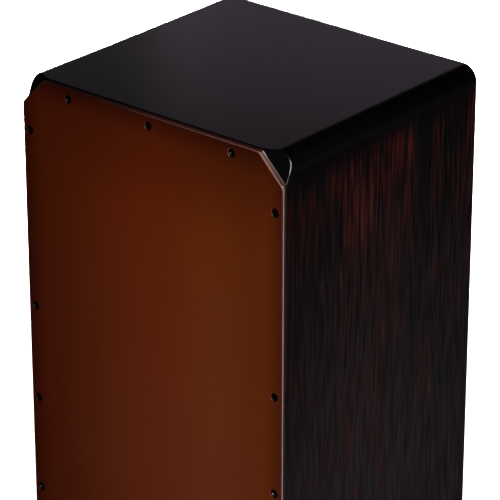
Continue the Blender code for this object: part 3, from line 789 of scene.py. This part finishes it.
def plate_outline():
    side, top, bottom = HALF_WIDTH, PLATE_HIGH.z, PLATE_LOW.z
    corners = [
        (-side + PLATE_CUT, bottom), (side - PLATE_CUT, bottom),
        (side, bottom + PLATE_CUT), (side, top - PLATE_CUT),
        (side - PLATE_CUT, top), (-side + PLATE_CUT, top),
        (-side, top - PLATE_CUT), (-side, bottom + PLATE_CUT),
    ]
    return rounded(corners, [CORNER_ROUND] * len(corners), CORNER_STEPS)


def screw_seats():
    """Round pockets for the plate's screw heads, to cut from its face."""
    bm = bmesh.new()
    for number in range(1, FRONT_SCREW_COUNT + 1):
        low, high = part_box(f"front_screw_{number:02d}")
        centre = ((low.x + high.x) / 2, (low.z + high.z) / 2)
        radius = (high.x - low.x) / 2 + SHADOW_GAP
        seat = circle(radius, SCREW_STEPS, centre)
        add_prism(bm, seat, PLATE_FRONT - SCREW_SEAT_DEPTH, PLATE_FRONT + SCREW_SEAT_DEPTH)
    return finish_mesh("screw_seats", bm)


def off_front_rim(middle):
    """True on edges that aren't part of the outline of the plate's front face."""
    level = abs(middle.z - PLATE_MIDDLE) - PLATE_HALF_HEIGHT
    beyond_cut = (abs(middle.x) - HALF_WIDTH + level + PLATE_CUT) / math.sqrt(2)
    outward = max(abs(middle.x) - HALF_WIDTH, level, beyond_cut)
    return middle.y > PLATE_FRONT + NEAR or outward <= -RIM_MARGIN


def make_plate(face_look, rim_look, edge_look, cut_look, back_look):
    """The plate, with a look for each way its faces turn: face, rounded rim, edge, cut corner, back."""
    solid = prism_mesh("front_plate_detail", plate_outline(), PLATE_FRONT, PLATE_BACK)
    solid = cut_away(solid, [screw_seats()])
    ease_edges(solid, PLATE_EASE, segments=5, keep=off_front_rim, least=50)
    ease_edges(solid, SMALL_EASE, segments=2, least=50)
    paint_faces(solid, 1, lambda centre, normal: abs(normal.y) < 0.98)
    paint_faces(solid, 2, lambda centre, normal: abs(normal.y) < 0.05)
    paint_faces(solid, 3, lambda centre, normal: min(abs(normal.x), abs(normal.z)) > 0.6)
    paint_faces(solid, 4, lambda centre, normal: normal.y > 0.98)
    smooth(solid, 30)
    looks = [face_look, rim_look, edge_look, cut_look, back_look]
    add_piece("front_plate_detail", solid, looks, ["front_plate"])


# The back


def make_back(face_look, edge_look, inside_look):
    solid = box_mesh("back_panel_detail", BACK_LOW, BACK_HIGH)
    hole = circle(SOUND_HOLE_RADIUS, HOLE_STEPS, (0, SOUND_HOLE_ABOVE_FLOOR))
    solid = cut_away(solid, [prism_mesh("hole", hole, BACK_LOW.y - 0.01, BACK_HIGH.y + 0.01)])
    ease_edges(solid, BACK_EASE, least=50)

    def in_hole(centre, normal):
        reach = math.hypot(centre.x, centre.z - SOUND_HOLE_ABOVE_FLOOR)
        return reach < SOUND_HOLE_RADIUS + 0.0005 and abs(normal.y) < 0.75

    paint_faces(solid, 1, in_hole)
    paint_faces(solid, 2, lambda centre, normal: normal.y < -0.75)
    smooth(solid, 30)
    looks = [face_look, edge_look, inside_look]
    add_piece("back_panel_detail", solid, looks, ["back_panel"])


# Feet


def foot_profile(radius, height):
    """(radius, height) points round a foot: its screw recess from below, a waisted side, a flat top."""
    recess, ease = FOOT_RECESS_RADIUS, FOOT_EASE
    waist = radius - FOOT_WAIST
    return [
        (FOOT_BORE_RADIUS, height - FOOT_WEB), (recess, height - FOOT_WEB), (recess, ease),
        (recess + 0.0005, 0), (radius - 0.0045, 0), (radius - 0.0030, ease), (radius - 0.0018, 4 * ease),
        (waist, height * 0.45), (waist, height * 0.52), (radius - ease, height * 0.60),
        (radius, height - 4 * ease), (radius - ease, height - ease), (radius - 3 * ease, height),
        (FOOT_BORE_RADIUS, height),
    ]


def make_feet(look):
    low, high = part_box("foot_front_left")
    profile = foot_profile((high.x - low.x) / 2, high.z)
    mesh = smooth(turned_mesh("foot_detail", profile, FOOT_STEPS), 50)
    mesh.materials.append(look)
    for depth in ("front", "back"):
        for side in ("left", "right"):
            node = f"foot_{depth}_{side}"
            low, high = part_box(node)
            obj = new_object(node + "_detail", mesh)
            obj.location = ((low.x + high.x) / 2, (low.y + high.y) / 2, 0)
            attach(obj, "box")
            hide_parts(node)


# The snare unit


def unit_frame():
    """The snare unit's own frame: on the pivot, tilted with the bar."""
    pivot = Vector(frame["record"]["behaviour"]["joints"][0]["pos_m"])
    return Matrix.Translation(pivot) @ Matrix.Rotation(BAR_TILT, 4, "X")


def add_coil(bm, root, tip):
    """A helix of wire from root to tip."""
    lean = (tip - root).normalized()
    length = (tip - root).length
    across = Vector((0, 1, 0)).cross(lean).normalized()
    up = lean.cross(across)
    steps = round(length / COIL_RISE * COIL_STEPS)
    rings = []
    for step in range(steps + 1):
        turn = 2 * math.pi * step / COIL_STEPS
        outward = across * math.cos(turn) + up * math.sin(turn)
        onward = up * math.cos(turn) - across * math.sin(turn)
        tangent = (onward * 2 * math.pi * COIL_RADIUS + lean * COIL_RISE).normalized()
        centre = root + lean * length * step / steps + outward * COIL_RADIUS
        beside = tangent.cross(outward)
        ring = [outward * a + beside * b for a, b in circle(COIL_WIRE_RADIUS, WIRE_SIDES)]
        rings.append([bm.verts.new(centre + offset) for offset in ring])
    for lower, upper in zip(rings, rings[1:]):
        for side in range(WIRE_SIDES):
            after = (side + 1) % WIRE_SIDES
            bm.faces.new([lower[side], lower[after], upper[after], upper[side]])
    bm.faces.new(rings[0])
    bm.faces.new(rings[-1])


def fan_mesh():
    """A fan of coiled snare wires soldered to a bored end strip."""
    outline = [(-HALF_STRIP, 0), (HALF_STRIP, 0), (HALF_STRIP, STRIP_HEIGHT), (-HALF_STRIP, STRIP_HEIGHT)]
    outline = rounded(outline, [STRIP_CORNER_RADIUS] * 4, STRIP_CORNER_STEPS)
    strip = prism_mesh("fan_strip", outline, -STRIP_THICKNESS / 2, STRIP_THICKNESS / 2)
    bores = []
    for end in (-1, 1):
        centre = (end * CLAMP_SCREW_REACH, STRIP_HEIGHT / 2)
        bore = circle(CLAMP_SHANK_RADIUS + GLUE_GAP, SCREW_STEPS, centre)
        bores.append(prism_mesh("fan_bore", bore, -STRIP_THICKNESS, STRIP_THICKNESS))
    strip = cut_away(strip, bores)
    bm = bmesh.new()
    bm.from_mesh(strip)
    for number in range(WIRES_PER_FAN):
        place = number - (WIRES_PER_FAN - 1) / 2
        root = Vector((place * WIRE_PITCH, 0, WIRE_ROOT))
        add_coil(bm, root, Vector((place * WIRE_FAN_PITCH, 0, WIRE_ROOT + WIRE_LENGTH)))
    return smooth(finish_mesh("snare_fan", bm), 95)


def place_in_unit(obj, look, node):
    """Sets a piece whose matrix is in the unit's frame into the world, riding the snare unit."""
    obj.matrix_world = unit_frame() @ obj.matrix_world
    if not obj.data.materials:
        obj.data.materials.append(look)
    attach(obj, "snare_unit")
    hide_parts(node)


def make_snares(steel, screw_look):
    fan = fan_mesh()
    screw = screw_mesh(
        "clamp_screw_detail", CLAMP_HEAD_RADIUS, CLAMP_HEAD_HEIGHT, CLAMP_SHANK_RADIUS, CLAMP_SHANK_LENGTH,
    )
    heads = []
    for name, side in (("left", -1), ("right", 1)):
        wires = new_object(f"snare_wires_{name}_detail", fan)
        wires.matrix_world = Matrix.Translation((side * FAN_OFFSET, STRIP_MIDDLE, -STRIP_HEIGHT / 2))
        place_in_unit(wires, steel, f"snare_wires_{name}")
        heads += [side * FAN_OFFSET + end * CLAMP_SCREW_REACH for end in (-1, 1)]
    front = CLAMP_FRONT - GLUE_GAP - CLAMP_HEAD_HEIGHT
    places = [(f"clamp_screw_{number:02d}", (x, front, 0), 1) for number, x in enumerate(heads, 1)]
    back = BAR_SIDE / 2 + LEVER_THICKNESS + 2 * GLUE_GAP + CLAMP_HEAD_HEIGHT
    places.append(("lever_screw", (0, back, LEVER_THICKNESS / 2), -1))
    for node, place, facing in places:
        obj = new_object(node + "_detail", screw)
        obj.matrix_world = Matrix.Translation(place) @ Matrix.Rotation(facing * math.pi / 2, 4, "X")
        place_in_unit(obj, screw_look, node)


# What stays as the frame has it


def finish_node(name, look, width=0.0006):
    """A CAD node that keeps its shape: a new material and softly rounded edges."""
    node = frame["nodes"][name]
    if not node.material_slots:
        node.data.materials.append(look)
    for material_slot in node.material_slots:
        material_slot.material = look
    weld = node.modifiers.new("weld", "WELD")
    weld.merge_threshold = 0.00001
    ease = node.modifiers.new("ease", "BEVEL")
    ease.width = width
    ease.segments = 2
    ease.limit_method = "ANGLE"
    ease.angle_limit = math.radians(40)


def finish_inside(wood_x, wood_y, wood_z, steel, brass_look):
    for name in ("back_cleat_top", "back_cleat_bottom", "snare_bar"):
        finish_node(name, wood_x)
    for name in ("back_cleat_left", "back_cleat_right", "bearing_block_left", "bearing_block_right"):
        finish_node(name, wood_z)
    for level in ("top", "bottom"):
        for side in ("left", "right"):
            finish_node(f"corner_block_{level}_{side}", wood_y)
    for name in ("pivot_pin_left", "pivot_pin_right", "throw_off_lever"):
        finish_node(name, steel, SMALL_EASE)
    for name in ("snare_clamp_left", "snare_clamp_right"):
        finish_node(name, brass_look, SMALL_EASE)


# Studio

CAMERA_PLACE = (1.6027, -1.9070, 1.4739)
CAMERA_AZIMUTH = 40.05
CAMERA_ELEVATION = 24.79
CAMERA_LENS = 216.0
SENSOR = 36.0
FLOOR_REACH = 40
FLOOR_GLOW = 0.45
PINK_WHITE = (1.0, 0.82, 1.0)
PALE_PINK = (1.0, 0.90, 1.0)
COOL_WHITE = (0.93, 0.90, 1.0)

# The dark room's glow in reflections, from a level below the horizon to one above it
ROOM_FADE = {"From Min": -0.45, "From Max": 0.06, "To Min": 0.036, "To Max": 0.001}


def make_camera():
    data = bpy.data.cameras.new("camera")
    data.lens = CAMERA_LENS
    data.sensor_width = SENSOR
    camera = bpy.data.objects.new("camera", data)
    bpy.context.scene.collection.objects.link(camera)
    turn, rise = math.radians(CAMERA_AZIMUTH), math.radians(CAMERA_ELEVATION)
    back = Vector((math.sin(turn) * math.cos(rise), -math.cos(turn) * math.cos(rise), math.sin(rise)))
    camera.location = CAMERA_PLACE
    camera.rotation_euler = (-back).to_track_quat("-Z", "Y").to_euler()
    bpy.context.scene.camera = camera


def make_floor():
    mesh = box_mesh("floor", (-FLOOR_REACH, -FLOOR_REACH, -0.02), (FLOOR_REACH, FLOOR_REACH, 0))
    floor = new_object("floor", mesh)
    look = Look("floor", Roughness=0.9, Specular_IOR_Level=0.1)
    grain = look.noise(look.stretched(3, 3, 3), detail=2)
    look.set("Base Color", look.mix(grain, (0.88, 0.88, 0.88), (0.90, 0.90, 0.90)))
    look.set("Emission Color", (1, 1, 1, 1))
    look.set("Emission Strength", FLOOR_GLOW)
    mesh.materials.append(look.material)
    floor.visible_glossy = False


def add_light(name, kind, place, target, energy, colour=(1, 1, 1), seen_by=("diffuse", "glossy")):
    """A light at place that points at target. seen_by lists the rays that it answers."""
    data = bpy.data.lights.new(name, kind)
    data.energy = energy
    data.color = colour
    light = bpy.data.objects.new(name, data)
    bpy.context.scene.collection.objects.link(light)
    light.location = place
    light.rotation_euler = (Vector(target) - Vector(place)).to_track_quat("-Z", "Y").to_euler()
    light.visible_camera = False
    light.visible_diffuse = "diffuse" in seen_by
    light.visible_glossy = "glossy" in seen_by
    return data


def softbox(name, place, target, size, watts, **settings):
    data = add_light(name, "AREA", place, target, watts, **settings)
    data.shape = "RECTANGLE"
    data.size, data.size_y = size


def make_lights():
    """Soft light from above and from two sides, and boxes that only the gloss shows."""
    sun = add_light("overhead", "SUN", (0.4, -0.6, 4.0), (0, 0, 0.3), energy=3.0, seen_by=("diffuse",))
    sun.angle = math.radians(50)
    softbox(
        "front_right_key", place=(0.92, -0.80, 0.30), target=(0.05, -0.13, 0.28),
        size=(0.35, 0.6), watts=60, seen_by=("diffuse",),
    )
    softbox(
        "back_left_fill", place=(-0.95, 1.05, 0.24), target=(-0.05, 0.13, 0.24),
        size=(0.5, 0.4), watts=60,
    )
    softbox(
        "seat_sheen", place=(-0.63, 1.17, 0.77), target=(0.0, 0.0, 0.5),
        size=(0.8, 0.6), watts=0.38, colour=PINK_WHITE, seen_by=("glossy",),
    )
    softbox(
        "seat_sheen_left", place=(-1.20, 0.85, 0.80), target=(-0.10, -0.05, 0.5),
        size=(0.6, 0.5), watts=0.14, colour=PALE_PINK, seen_by=("glossy",),
    )
    softbox(
        "seat_sheen_from_front", place=(1.0, -1.1, 0.80), target=(0.0, 0.0, 0.5),
        size=(0.8, 0.3), watts=0.30, colour=PINK_WHITE, seen_by=("glossy",),
    )
    softbox(
        "right_strip", place=(1.2, -0.45, 0.84), target=(0.14, -0.13, 0.48),
        size=(0.11, 0.72), watts=30, colour=COOL_WHITE, seen_by=("glossy",),
    )


def make_world():
    """White behind the object. In reflections, a dim floor below a dark room."""
    world = bpy.data.worlds.new("studio")
    bpy.context.scene.world = world
    world.use_nodes = True
    tree = world.node_tree
    nodes, links = tree.nodes, tree.links
    path = nodes.new("ShaderNodeLightPath")
    axes = nodes.new("ShaderNodeSeparateXYZ")
    links.new(nodes.new("ShaderNodeTexCoord").outputs["Generated"], axes.inputs[0])
    height = nodes.new("ShaderNodeMapRange")
    height.interpolation_type = "SMOOTHSTEP"
    links.new(axes.outputs["Z"], height.inputs["Value"])
    for name, value in ROOM_FADE.items():
        height.inputs[name].default_value = value
    room = nodes.new("ShaderNodeBackground")
    links.new(height.outputs[0], room.inputs["Strength"])
    white = nodes["Background"]
    white.inputs["Color"].default_value = (1, 1, 1, 1)
    mix = nodes.new("ShaderNodeMixShader")
    links.new(path.outputs["Is Camera Ray"], mix.inputs[0])
    links.new(room.outputs[0], mix.inputs[1])
    links.new(white.outputs[0], mix.inputs[2])
    links.new(mix.outputs[0], nodes["World Output"].inputs["Surface"])


def make_studio():
    make_camera()
    make_floor()
    make_world()
    make_lights()
    bpy.context.scene.view_settings.view_transform = "Standard"


def main():
    make_studio()
    side_look = ebony()
    birch_x, birch_y, birch_z = (bare_birch("bare_birch_" + axis, axis) for axis in "xyz")
    steel, screw_look = bright_steel(), black_steel()
    make_panels(seat_paint(), side_look, bare_birch("bare_birch_walls", "z", in_rebate))
    plate_back = bare_birch("plate_back", "z", over_walls)
    make_plate(stained_plate(), plate_rim(), plate_edge(), plate_cut(), plate_back)
    back_edge = ply_edge("back_ply_edge", "y", BACK_LOW.y, BACK_HIGH.y - BACK_LOW.y, 5)
    make_back(side_look, back_edge, birch_z)
    make_screws(screw_look)
    make_feet(rubber())
    make_snares(steel, screw_look)
    finish_inside(birch_x, birch_y, birch_z, steel, brass())


main()
